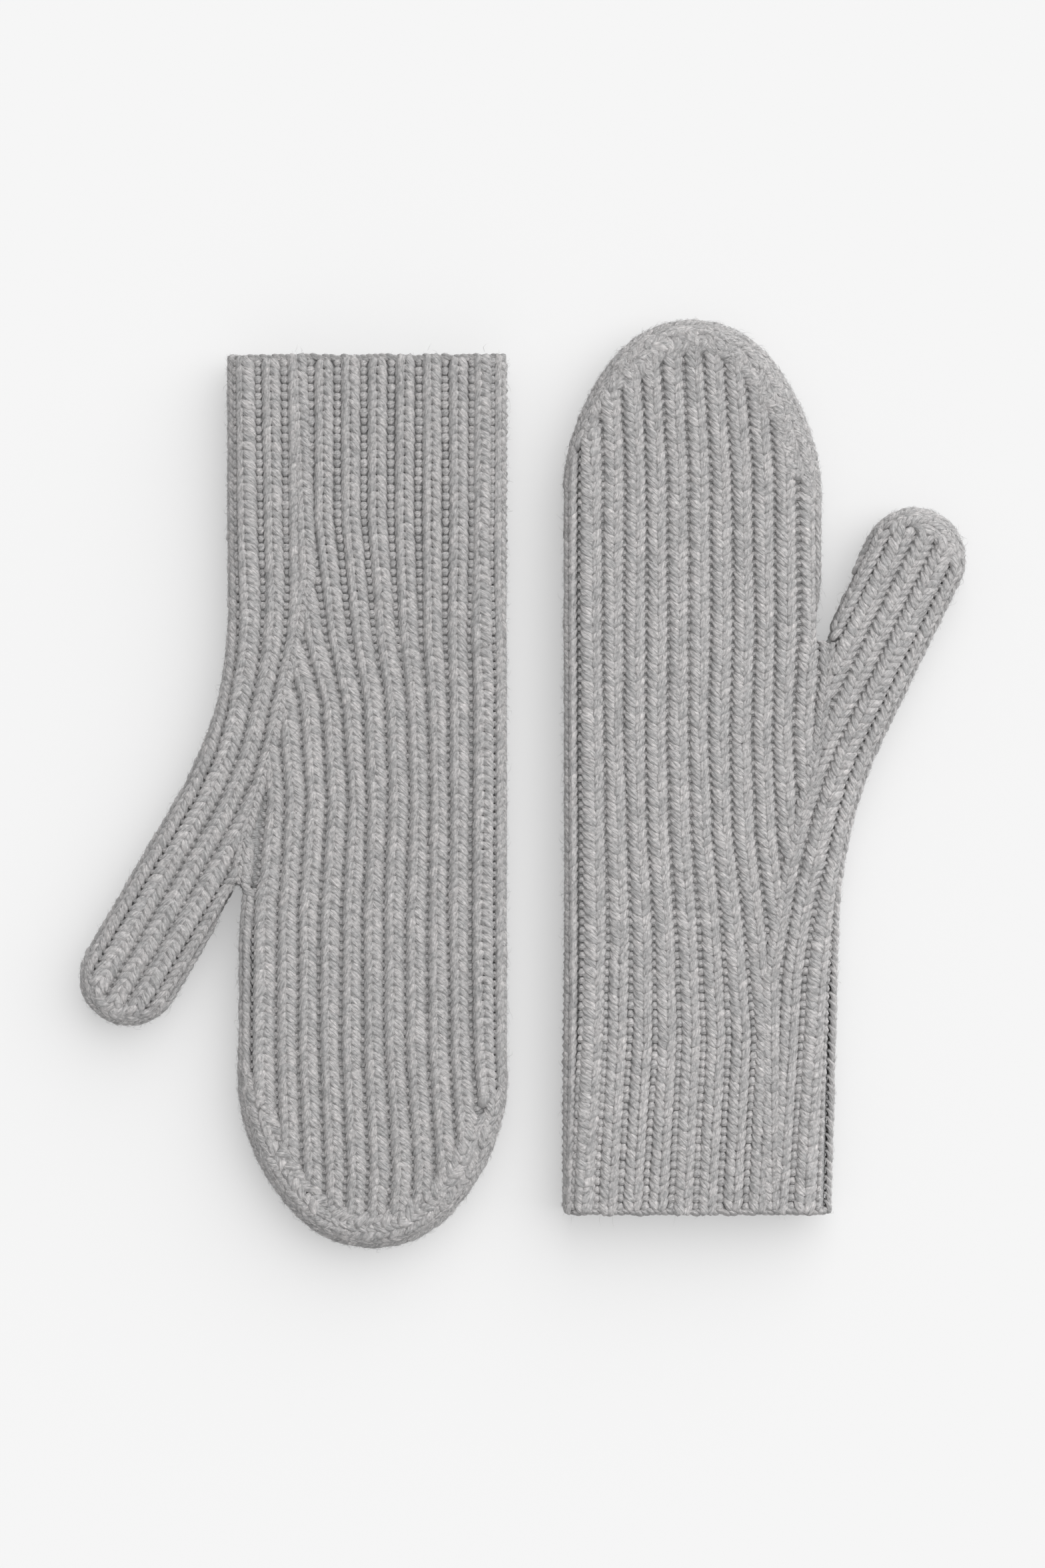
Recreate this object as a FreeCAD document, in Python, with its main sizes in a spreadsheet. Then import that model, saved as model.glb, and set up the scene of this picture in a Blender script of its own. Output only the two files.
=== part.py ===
"""A pair of long ribbed knit mittens, lying flat side by side.

Row frame: millimetres, +Z up, z = 0 is the surface that the pair lies on, and the origin is under
the middle of the pair. Each mitten is designed in its own frame: x = 0 is the straight little-finger
edge, y = 0 is the mouth of the cuff, and the fingers point along +y. The mitten on the left is turned
half round when it is laid down, so the two point opposite ways, as a pair is packed.

Each mitten is a flattened tube of thick knit. It is cut into the pieces that a knitter makes up: the
cast-on edge, the cuff, the hand, the thumb gusset, the fingers, the crown, the thumb, and the linked
seams. Rounded ends at the wrist, at the knuckles and at the root of the thumb let those pieces fold.
"""
import FreeCAD, Part
import math
import os
import Sketcher
from FreeCAD import Vector

# Driving dimensions, in millimetres and degrees. The first group is shared by both mittens.
SHARED = {
    "thickness": 16.0,  # both layers of knit and the air between them
    "wall": 3.3,  # one layer of ribbed knit
    "rim_radius": 7.0,  # how roundly the knit folds along the edges
    "hinge_radius": 8.0,  # rounded end of the piece that carries a fold
    "hinge_clearance": 0.35,  # air between a rounded end and its hollow
    "hinge_setback": 6.6,  # how far the folding piece starts beyond the fold line
    "crotch_radius": 1.0,  # between thumb and fingers
    "thumb_gap": 2.0,  # open space beside the thumb's inner edge that cuts the thumb off the fingers
    "edge_height": 6.0,  # depth of the cast-on edge
    "crown_depth": 26.0,  # depth of the grafted cap over the fingertips
    "seam_height": 3.0,  # width of a linked seam, across the edge of the mitten
    "seam_depth": 2.2,
    "gusset_apex_x": 68.5,  # where the thumb gusset starts
    "gusset_apex_y": 84.0,
    "gusset_lean": 11.5,  # of the gusset's line of increases, from the finger direction
    "mouth_allowance": 10.0,  # how far cutting solids run past what they cut
    "label_length": 24.0,
    "label_width": 12.0,
    "label_thickness": 0.6,
    "label_inset": 9.0,  # from the little-finger edge and from the mouth
    "stitch_width": 1.0,
}
# The two mittens differ a little, as hand-finished knitwear does.
MITTENS = {
    "left": {
        "laid_x": -5.9,
        "laid_y": 144.2,
        "laid_turn": 180.0,
        "length": 300.0,
        "mouth_width": 93.0,
        "cuff_width": 93.0,
        "gusset_start": 85.0,
        "gusset_curve": 128.0,
        "thumb_outer_angle": 30.4,
        "thumb_inner_angle": 31.0,
        "thumb_edge": 59.5,
        "thumb_tip_radius": 15.9,
        "hand_width": 89.4,
        "crown_length": 58.0,
        "crown_tip_radius": 35.0,
        "wrist_fold": 70.0,
        "knuckle_fold": 207.0,
        "thumb_fold_x": 95.4,
        "thumb_fold_y": 187.4,
    },
    "right": {
        "laid_x": 14.2,
        "laid_y": -144.7,
        "laid_turn": 0.0,
        "length": 300.5,
        "mouth_width": 89.4,
        "cuff_width": 91.8,
        "gusset_start": 97.0,
        "gusset_curve": 156.0,
        "thumb_outer_angle": 26.0,
        "thumb_inner_angle": 25.0,
        "thumb_edge": 57.9,
        "thumb_tip_radius": 16.4,
        "hand_width": 86.0,
        "crown_length": 61.0,
        "crown_tip_radius": 33.0,
        "wrist_fold": 72.0,
        "knuckle_fold": 212.0,
        "thumb_fold_x": 91.3,
        "thumb_fold_y": 198.2,
    },
}
# Which layer of each mitten is uppermost as the pair lies.
LAYERS = {
    "left": {"upper": "back", "lower": "palm"},
    "right": {"upper": "palm", "lower": "back"},
}
# The regions of the knit: whole rings and their node names, two-layer panels, and seamed stretches.
RINGS = {"edge": "cuff_edge", "crown": "crown_cap"}
PANELS = ("cuff", "hand", "gusset", "fingers", "thumb")
SEAMED = ("cuff", "hand", "fingers")
Z_AXIS = Vector(0, 0, 1)
PLACE = ("Placement.Base.x", "Placement.Base.y", "Placement.Base.z")
DEGREE = " * 1 deg"
FLAT = 1e-4  # an edge this level or straight counts as flat, in millimetres
AT_FOLD_HEIGHT = "@thickness / 2"  # every fold line lies midway between the two layers

doc = FreeCAD.newDocument("knit_mittens")
sheet = doc.addObject("Spreadsheet::Sheet", "sizes")
sub_parts = {}


def write_sheet():
    """One row of the sheet for each driving dimension: its name, its value and its alias."""
    rows = list(SHARED.items())
    for side, sizes in MITTENS.items():
        rows += [(f"{side}_{name}", value) for name, value in sizes.items()]
    for number, (name, value) in enumerate(rows, start=1):
        sheet.set(f"A{number}", name)
        sheet.set(f"B{number}", str(value))
        sheet.setAlias(f"B{number}", name)
    doc.recompute()


def size(name):
    """A driving dimension's value, read from the sheet."""
    return float(sheet.get(name))


def bind(thing, bindings):
    """Ties each property to an expression, in which @name is a cell of the sheet."""
    for prop, expression in bindings.items():
        thing.setExpression(prop, expression.replace("@", "sizes."))


def corner(radius, angle, centre):
    """The point at an angle, in radians, on a circle."""
    return centre + Vector(radius * math.cos(angle), radius * math.sin(angle), 0)


def arc(centre, radius, start, end):
    circle = Part.Circle(centre, Z_AXIS, radius)
    return Part.ArcOfCircle(circle, start, end)


def outline_edges(side, inset, mouth):
    """The mitten's outline, drawn in by inset: (geometry, first point, last point) round the loop.

    It runs from the little-finger corner of the mouth along the mouth, up the thumb side, round the
    thumb, into the crotch, up the fingers, over the crown and back down the little-finger edge.
    """
    d = {name: size(f"{side}_{name}") for name in MITTENS[side]}
    outer = math.radians(d["thumb_outer_angle"])
    inner = math.radians(d["thumb_inner_angle"])
    mouth_outer = Vector(inset, mouth, 0)
    mouth_thumb = Vector(d["mouth_width"] - inset, mouth, 0)
    gusset_foot = Vector(d["cuff_width"] - inset, d["gusset_start"], 0)
    lean = math.atan2(gusset_foot.x - mouth_thumb.x, gusset_foot.y - mouth_thumb.y)
    curve = d["gusset_curve"] + inset
    curve_centre = corner(curve, -lean, gusset_foot)
    thumb_root = corner(curve, math.pi - outer, curve_centre)
    thumb_far = thumb_root + Vector(math.sin(outer), math.cos(outer), 0) * d["thumb_edge"]
    tip = d["thumb_tip_radius"] - inset
    tip_centre = corner(tip, math.pi - outer, thumb_far)
    tip_end = corner(tip, math.pi - inner, tip_centre)
    crotch = size("crotch_radius") + inset
    hand_x = d["hand_width"] - inset
    crotch_x = hand_x + crotch
    crotch_y = tip_end.y + ((crotch_x - tip_end.x) * math.cos(inner) + crotch) / math.sin(inner)
    crotch_centre = Vector(crotch_x, crotch_y, 0)
    crown_y = d["length"] - d["crown_length"]
    half = d["hand_width"] / 2
    rise = d["crown_length"] - d["crown_tip_radius"]
    shoulder = (half**2 + rise**2 - d["crown_tip_radius"] ** 2) / (2 * (half - d["crown_tip_radius"]))
    tip_arc_centre = Vector(half, d["length"] - d["crown_tip_radius"], 0)
    thumb_shoulder_centre = Vector(d["hand_width"] - shoulder, crown_y, 0)
    outer_shoulder_centre = Vector(shoulder, crown_y, 0)
    turn = math.atan2(rise, shoulder - half)
    crown_tip = d["crown_tip_radius"] - inset
    side_radius = shoulder - inset
    return [
        (Part.LineSegment(mouth_outer, mouth_thumb), 1, 2),
        (Part.LineSegment(mouth_thumb, gusset_foot), 1, 2),
        (arc(curve_centre, curve, math.pi - outer, math.pi - lean), 2, 1),
        (Part.LineSegment(thumb_root, thumb_far), 1, 2),
        (arc(tip_centre, tip, -outer, math.pi - inner), 1, 2),
        (Part.LineSegment(tip_end, corner(crotch, -inner, crotch_centre)), 1, 2),
        (arc(crotch_centre, crotch, math.pi, 2 * math.pi - inner), 2, 1),
        (Part.LineSegment(Vector(hand_x, crotch_y, 0), Vector(hand_x, crown_y, 0)), 1, 2),
        (arc(thumb_shoulder_centre, side_radius, 0, turn), 1, 2),
        (arc(tip_arc_centre, crown_tip, turn, math.pi - turn), 1, 2),
        (arc(outer_shoulder_centre, side_radius, math.pi - turn, math.pi), 1, 2),
        (Part.LineSegment(Vector(inset, crown_y, 0), mouth_outer), 1, 2),
    ]


# Places of the edges in the loop that outline_edges returns.
MOUTH, CUFF_EDGE, GUSSET, THUMB_OUTER, THUMB_TIP, THUMB_INNER = range(6)
CROTCH, HAND_EDGE, THUMB_SHOULDER, CROWN_TIP, OUTER_SHOULDER, OUTER_EDGE = range(6, 12)
CENTRE = 3  # an arc's third point, after its two ends
SKETCH_ORIGIN = (-1, 1)


def evaluate(thing, expression):
    """The number that an expression comes to now: millimetres, degrees or no unit."""
    value = thing.evalExpression(expression.replace("@", "sizes."))
    return float(getattr(value, "Value", value))


def dimension(sketch, kind, points, expression):
    """A dimension tied to the sheet."""
    value = evaluate(sketch, expression)
    if kind == "Angle":
        value = math.radians(value)
    index = sketch.addConstraint(Sketcher.Constraint(kind, *points, value))
    bind(sketch, {f"Constraints[{index}]": expression})


def outline_sketch(body, side, inset, mouth):
    """A fully constrained sketch of the outline; inset and mouth are expressions in millimetres."""
    sketch = body.newObject("Sketcher::SketchObject", f"{body.Name}_outline")
    plane = next(feature for feature in body.Origin.OriginFeatures if feature.Role == "XY_Plane")
    sketch.AttachmentSupport = (plane, "")
    sketch.MapMode = "FlatFace"
    edges = outline_edges(side, evaluate(sketch, inset), -evaluate(sketch, mouth))
    sketch.addGeometry([edge for edge, _, _ in edges], False)
    for number, (_, _, last) in enumerate(edges):
        following = (number + 1) % len(edges)
        square = number in (MOUTH, OUTER_EDGE)
        kind = "Coincident" if square else "Tangent"
        sketch.addConstraint(Sketcher.Constraint(kind, number, last, following, edges[following][1]))
    sketch.addConstraint(Sketcher.Constraint("Horizontal", MOUTH))
    sketch.addConstraint(Sketcher.Constraint("Vertical", HAND_EDGE))
    sketch.addConstraint(Sketcher.Constraint("Vertical", OUTER_EDGE))
    own = f"@{side}"
    crown_foot = f"{own}_length - {own}_crown_length"
    for kind, points, expression in [
        ("DistanceX", SKETCH_ORIGIN + (MOUTH, 1), inset),
        ("DistanceY", (MOUTH, 1) + SKETCH_ORIGIN, mouth),
        ("DistanceX", SKETCH_ORIGIN + (MOUTH, 2), f"{own}_mouth_width - {inset}"),
        ("DistanceX", SKETCH_ORIGIN + (CUFF_EDGE, 2), f"{own}_cuff_width - {inset}"),
        ("DistanceY", SKETCH_ORIGIN + (CUFF_EDGE, 2), f"{own}_gusset_start"),
        ("Radius", (GUSSET,), f"{own}_gusset_curve + {inset}"),
        ("Angle", (THUMB_OUTER,), f"90 deg - {own}_thumb_outer_angle{DEGREE}"),
        ("Distance", (THUMB_OUTER,), f"{own}_thumb_edge"),
        ("Radius", (THUMB_TIP,), f"{own}_thumb_tip_radius - {inset}"),
        ("Angle", (THUMB_INNER,), f"-90 deg - {own}_thumb_inner_angle{DEGREE}"),
        ("Radius", (CROTCH,), f"@crotch_radius + {inset}"),
        ("DistanceX", SKETCH_ORIGIN + (HAND_EDGE, 1), f"{own}_hand_width - {inset}"),
        ("DistanceY", SKETCH_ORIGIN + (HAND_EDGE, 2), crown_foot),
        ("DistanceY", SKETCH_ORIGIN + (OUTER_EDGE, 1), crown_foot),
        ("Radius", (CROWN_TIP,), f"{own}_crown_tip_radius - {inset}"),
        ("DistanceX", SKETCH_ORIGIN + (CROWN_TIP, CENTRE), f"{own}_hand_width / 2"),
        ("DistanceY", SKETCH_ORIGIN + (CROWN_TIP, CENTRE), f"{own}_length - {own}_crown_tip_radius"),
    ]:
        dimension(sketch, kind, points, expression)
    return sketch


def rounded_form(name, side, inset, mouth):
    """The outline raised to a flat-topped form whose rims are rounded, except across the mouth."""
    body = doc.addObject("PartDesign::Body", name)
    sketch = outline_sketch(body, side, inset, mouth)
    pad = body.newObject("PartDesign::Pad", f"{name}_pad")
    pad.Profile = sketch
    bind(pad, {"Length": f"@thickness - 2 * ({inset})"})
    doc.recompute()
    fold = body.newObject("PartDesign::Fillet", f"{name}_rim")
    fold.Base = (pad, rim_edges(pad.Shape))
    bind(fold, {"Radius": f"@rim_radius - ({inset})"})
    bind(body, {"Placement.Base.z": inset})
    doc.recompute()
    return body


def rim_edges(shape):
    """Names of the edges round the top and bottom faces, less those across the mouth."""
    box = shape.BoundBox
    names = []
    for number, edge in enumerate(shape.Edges, start=1):
        level = edge.BoundBox.ZLength < FLAT
        across_mouth = edge.BoundBox.YMax < box.YMin + FLAT
        if level and not across_mouth:
            names.append(f"Edge{number}")
    return names


def boolean(kind, name, base, tool):
    result = doc.addObject(f"Part::{kind}", name)
    result.Base = base
    result.Tool = tool
    return result


def block(name, place, span):
    """A box whose low corner and three sides are expressions."""
    solid = doc.addObject("Part::Box", name)
    bind(solid, dict(zip(PLACE, place)))
    bind(solid, dict(zip(("Length", "Width", "Height"), span)))
    return solid


def bar(name, place, yaw, span, radius):
    """A round bar that lies level, along the direction yaw from +x."""
    solid = doc.addObject("Part::Cylinder", name)
    bind(solid, dict(zip(PLACE, place)))
    bind(solid, {"Placement.Rotation.Yaw": yaw, "Placement.Rotation.Pitch": "90 deg"})
    bind(solid, {"Height": span, "Radius": radius})
    return solid


class Mitten:
    """One mitten's knit tube, and the solids that part it into pieces."""

    def __init__(self, side):
        self.side = side
        self.own = f"@{side}"
        self.far = f"({self.own}_length + @mouth_allowance)"  # longer than any side of the mitten
        self.low_z = "-@mouth_allowance"
        self.tall = "@thickness + 2 * @mouth_allowance"
        form = rounded_form(f"{side}_form", side, "0", "0")
        self.hollow = rounded_form(f"{side}_hollow", side, "@wall", "@mouth_allowance")
        self.tube = boolean("Cut", f"{side}_tube", form, self.hollow)

    def name(self, words):
        return f"{self.side}_{words}"

    def between(self, words, low, high):
        """Everything between two heights up the mitten."""
        place = (f"-{self.far}", low, self.low_z)
        return block(self.name(words), place, (f"2 * {self.far}", f"({high}) - ({low})", self.tall))

    def leaning(self, words, place, lean):
        """Everything beyond a corner, to the thumb side of a line that leans towards the thumb."""
        solid = block(self.name(words), (*place, self.low_z), (self.far, self.far, self.tall))
        bind(solid, {"Placement.Rotation.Yaw": f"-{lean}{DEGREE}"})
        return solid

    def cross_fold(self, words, fold_y, radius):
        """A round bar along a fold line that crosses the whole mitten."""
        place = (f"-{self.far}", fold_y, AT_FOLD_HEIGHT)
        return bar(self.name(words), place, "0 deg", f"2 * {self.far}", radius)

    def thumb_fold(self, words, radius):
        """A round bar along the fold line at the thumb's root."""
        place = (f"{self.own}_thumb_fold_x", f"{self.own}_thumb_fold_y", AT_FOLD_HEIGHT)
        yaw = f"-{self.own}_thumb_inner_angle{DEGREE}"
        return bar(self.name(words), place, yaw, self.far, radius)

    def thumb_side(self, words, setback):
        """Everything past the thumb's fold line by setback, and nothing of the fingers."""
        own = self.own
        angle = f"{own}_thumb_inner_angle{DEGREE}"
        place = (
            f"{own}_thumb_fold_x + ({setback}) * sin({angle}) - @thumb_gap * cos({angle})",
            f"{own}_thumb_fold_y + ({setback}) * cos({angle}) + @thumb_gap * sin({angle})",
        )
        return self.leaning(words, place, f"{own}_thumb_inner_angle")

    def zones(self):
        """The solid that each region of the knit is cut with."""
        own, name = self.own, self.name
        wrist, knuckles = f"{own}_wrist_fold", f"{own}_knuckle_fold"
        socket = "@hinge_radius + @hinge_clearance"
        crown_y = f"{own}_length - @crown_depth"
        edge = self.between("edge_zone", "-@mouth_allowance", "@edge_height")
        cuff = boolean(
            "Cut",
            name("cuff_zone"),
            self.between("cuff_block", "@edge_height", f"{wrist} - @hinge_setback"),
            self.cross_fold("cuff_socket", wrist, socket),
        )
        beyond_fold = self.thumb_side("thumb_block", "0")
        hand_ends = boolean(
            "Fuse",
            name("hand_ends"),
            self.cross_fold("wrist_end", wrist, "@hinge_radius"),
            self.cross_fold("knuckle_end", knuckles, "@hinge_radius"),
        )
        hand_block = self.between("hand_block", wrist, knuckles)
        hand_length = boolean("Fuse", name("hand_length"), hand_block, hand_ends)
        hand_less_thumb = boolean("Cut", name("hand_less_thumb"), hand_length, beyond_fold)
        hand = boolean(
            "Fuse", name("hand_zone"), hand_less_thumb, self.thumb_fold("thumb_end", "@hinge_radius")
        )
        apex = ("@gusset_apex_x", "@gusset_apex_y")
        gusset_side = self.leaning("gusset_side", apex, "@gusset_lean")
        thumb = boolean(
            "Cut",
            name("thumb_zone"),
            self.thumb_side("thumb_beyond", "@hinge_setback"),
            self.thumb_fold("thumb_socket", socket),
        )
        fingers_block = self.between("fingers_block", f"{knuckles} + @hinge_setback", crown_y)
        fingers_less_thumb = boolean("Cut", name("fingers_less_thumb"), fingers_block, beyond_fold)
        fingers = boolean(
            "Cut",
            name("fingers_zone"),
            fingers_less_thumb,
            self.cross_fold("fingers_socket", knuckles, socket),
        )
        crown_block = self.between("crown_block", crown_y, f"{own}_length + @mouth_allowance")
        return {
            "edge": edge,
            "cuff": cuff,
            "hand": boolean("Cut", name("hand_panel_zone"), hand, gusset_side),
            "gusset": boolean("Common", name("gusset_zone"), hand, gusset_side),
            "fingers": fingers,
            "crown": boolean("Cut", name("crown_zone"), crown_block, beyond_fold),
            "thumb": thumb,
        }

    def lay(self, words, piece):
        """Lays a finished piece in its place in the pair and keeps it as a sub-part."""
        piece.Label = self.name(words)
        bind(
            piece,
            {
                "Placement.Base.x": f"{self.own}_laid_x",
                "Placement.Base.y": f"{self.own}_laid_y",
                "Placement.Rotation.Yaw": f"{self.own}_laid_turn{DEGREE}",
            },
        )
        sub_parts[piece.Label] = piece

    def make_pieces(self):
        """Every piece of knit: whole rings, then two layers a region, then the linked seams."""
        zones = self.zones()
        own, name = self.own, self.name
        seam_zone = block(
            name("seam_zone"),
            ("-@mouth_allowance", "@edge_height", "(@thickness - @seam_height) / 2"),
            (
                "@mouth_allowance + @seam_depth",
                f"{own}_length - {own}_crown_length - @edge_height",
                "@seam_height",
            ),
        )
        seam = boolean("Common", name("seam"), self.tube, seam_zone)
        fabric = boolean("Cut", name("fabric"), self.tube, seam_zone)
        for region, words in RINGS.items():
            self.lay(words, boolean("Common", f"{name(words)}_knit", fabric, zones[region]))
        middle = "@thickness / 2"
        for layer, low_z in (("lower", f"{middle} - {self.far}"), ("upper", middle)):
            half = block(
                name(f"{layer}_half"),
                (f"-{self.far}", f"-{self.far}", low_z),
                (f"3 * {self.far}", f"3 * {self.far}", self.far),
            )
            layer_fabric = boolean("Common", name(f"{layer}_fabric"), fabric, half)
            for region in PANELS:
                words = f"{region}_{LAYERS[self.side][layer]}"
                self.lay(words, boolean("Common", f"{name(words)}_knit", layer_fabric, zones[region]))
        for region in SEAMED:
            words = f"{region}_seam"
            self.lay(words, boolean("Common", f"{name(words)}_links", seam, zones[region]))


def make_label(mitten):
    """A blank care label against the inside of the cuff, held by a row of stitches at each end."""
    name = mitten.name
    foot_x = "@wall + @label_inset"
    roof = "@thickness - @wall"
    label = block(
        name("label_tape"),
        (foot_x, "@label_inset", f"{roof} - @label_thickness"),
        ("@label_width", "@label_length", "@label_thickness"),
    )
    rows = [
        block(
            name(f"stitch_row_{end}"),
            (foot_x, row_y, f"{roof} - 2 * @label_thickness"),
            ("@label_width", "@stitch_width", "@label_thickness"),
        )
        for end, row_y in (
            ("near", "@label_inset + @stitch_width"),
            ("far", "@label_inset + @label_length - 2 * @stitch_width"),
        )
    ]
    mitten.lay("care_label", boolean("Common", name("label_inside"), label, mitten.hollow))
    mitten.lay("label_stitches", boolean("Fuse", name("stitch_rows"), *rows))


def check_document():
    """Stops with a plain message if anything failed to build."""
    for thing in doc.Objects:
        if {"Invalid", "Error"} & set(thing.State):
            raise RuntimeError(f"{thing.Name} failed: {thing.State}")
    for label, piece in sub_parts.items():
        if piece.Shape.isNull() or not piece.Shape.isValid() or not piece.Shape.Solids:
            raise RuntimeError(f"{label} has no valid solid")


write_sheet()
mittens = {side: Mitten(side) for side in MITTENS}
for mitten in mittens.values():
    mitten.make_pieces()
make_label(mittens["left"])
doc.recompute()
check_document()
os.makedirs("parts", exist_ok=True)
for label, piece in sub_parts.items():
    piece.Shape.exportStep(f"parts/{label}.step")
    print(f"{label}: {piece.Shape.Volume / 1000:.2f} cm3, {len(piece.Shape.Solids)} solid(s)")
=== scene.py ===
"""A pair of ribbed wool mittens lying flat, side by side, one turned end for end.

Every stitch is a piece of soft yarn. A mitten is first set out flat, in millimetres, with x running
from its little-finger edge to its thumb side and y from its cuff mouth to its tip. Each stitch is then
wrapped over the mitten's rounded rim and laid in the frame, in metres.
"""
import math

import bmesh
import bpy
import numpy as np
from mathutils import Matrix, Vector, geometry


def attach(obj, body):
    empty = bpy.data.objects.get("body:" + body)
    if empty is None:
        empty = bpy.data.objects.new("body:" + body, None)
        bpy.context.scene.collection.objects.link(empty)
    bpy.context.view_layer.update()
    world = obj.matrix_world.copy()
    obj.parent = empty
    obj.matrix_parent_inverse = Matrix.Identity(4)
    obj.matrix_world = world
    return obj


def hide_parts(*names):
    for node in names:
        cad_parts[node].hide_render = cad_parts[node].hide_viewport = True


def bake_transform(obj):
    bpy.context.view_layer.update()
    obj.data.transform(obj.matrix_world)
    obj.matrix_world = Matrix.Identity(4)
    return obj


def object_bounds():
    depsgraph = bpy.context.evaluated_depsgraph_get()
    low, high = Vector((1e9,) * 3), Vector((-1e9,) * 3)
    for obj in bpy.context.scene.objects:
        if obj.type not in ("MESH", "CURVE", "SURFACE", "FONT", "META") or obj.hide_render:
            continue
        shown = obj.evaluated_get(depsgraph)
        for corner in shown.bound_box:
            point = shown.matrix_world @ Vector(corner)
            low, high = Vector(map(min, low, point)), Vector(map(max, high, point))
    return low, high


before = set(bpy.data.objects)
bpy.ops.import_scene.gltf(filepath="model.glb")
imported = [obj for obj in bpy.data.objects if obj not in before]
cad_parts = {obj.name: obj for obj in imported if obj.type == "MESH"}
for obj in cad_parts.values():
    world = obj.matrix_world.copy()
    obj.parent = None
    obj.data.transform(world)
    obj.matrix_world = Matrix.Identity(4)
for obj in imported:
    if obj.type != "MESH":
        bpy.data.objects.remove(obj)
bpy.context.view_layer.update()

MM = 0.001
HALF_TURN = math.pi
QUARTER_TURN = math.pi / 2
SEED = 41

# The laid-flat mitten's cross-section: a slab with a half-round rim, the yarn's thickness inside it.
THICKNESS = 16.0
MIDDLE = THICKNESS / 2
RIM = 8.0
UNROLLED = RIM * QUARTER_TURN
OVERHANG = UNROLLED - RIM
RIM_SWELL = 0.6
RIM_SQUARENESS = 0.7
RIM_SWELL_REACH = 5.0
WALL = 3.3
GROUND_DEPTH = 1.6
BELOW_MOUTH = 12.0
NEVER = 9

# A stitch, along and across its column.
COURSE = 2.82
STRAND_LENGTH = 4.5
LEG_LENGTHS = (4.9, 5.2)
LEG_STARTS = (0.02, 0.03)
LEG_ENDS = (-0.46, 0.46)
LEG_WIDTHS = (0.280, 0.262)
LEG_RINGS = 7
LEG_SIDES = 8
LEG_THICKNESS = 0.235
THICKEST = 1.2
# How far a leg's rings lie below the fabric's face, from its lower end to its upper end.
LEG_PARTS = (0, 0.167, 0.333, 0.667, 0.833, 1)
LEG_FRONT = (-1.05, -0.78, -0.70, -0.86, -1.25, -2.2)
# A rib wider than this opens in the middle.
FULL_RIB = 7.3
RIB_GAP = 0.95
EDGE_GAP = 0.2
EDGE_LINE = 0.3
BAND_HALF = 2.55
BUMP_SIDES = 6
BUMP_GIRTH = (0.42, 1.0, 1.0, 0.42)
BUMP_RINGS = len(BUMP_GIRTH)
# From the first of these heights up a mitten to the second, the bumps change from the cuff's to the hand's.
CUFF_TO_HAND = (60, 120)
BUMP_REACH = (1.3, 1.6)
BUMP_RADIUS = (1.40, 1.12)
BUMP_DEPTH = (-1.25, -1.62)
LOOP_GIRTH = (0.5, 0.92, 1.0, 0.92, 0.5)
LOOP_SIDES = 8
LOOP_PITCH = 2.1
FIBRE_RADIUS = 0.036
FIBRES_PER_LEG = 10.0
FINEST = 1e-6

# Each piece of a mitten's fabric, and the height that the upper one starts from.
REGIONS = ("lower", "upper", "thumb")
UPPER_START = 132.0
FOLD_REACH = 10.0
THUMB_FOLD_REACH = 7.5
LINING_END = 58

# The yarn's colour, and the room.
SHADES = {"left": 0.468, "right": 0.498}
TWIST = -0.035
PLIES = 6
TILE_MARGIN = 0.06
FLOOR_SHADE = 0.57
FLOOR_GLOW = 0.308
FLOOR_DROP = 0.0001
ROOM_LIGHT = 0.52
SUN_POWER = 2.55
SUN_WIDTH = math.radians(88)
SUN_TILT = (math.radians(-32), math.radians(36), 0)
CAMERA_HEIGHT = 1.260
CAMERA_LENS = 85

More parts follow.
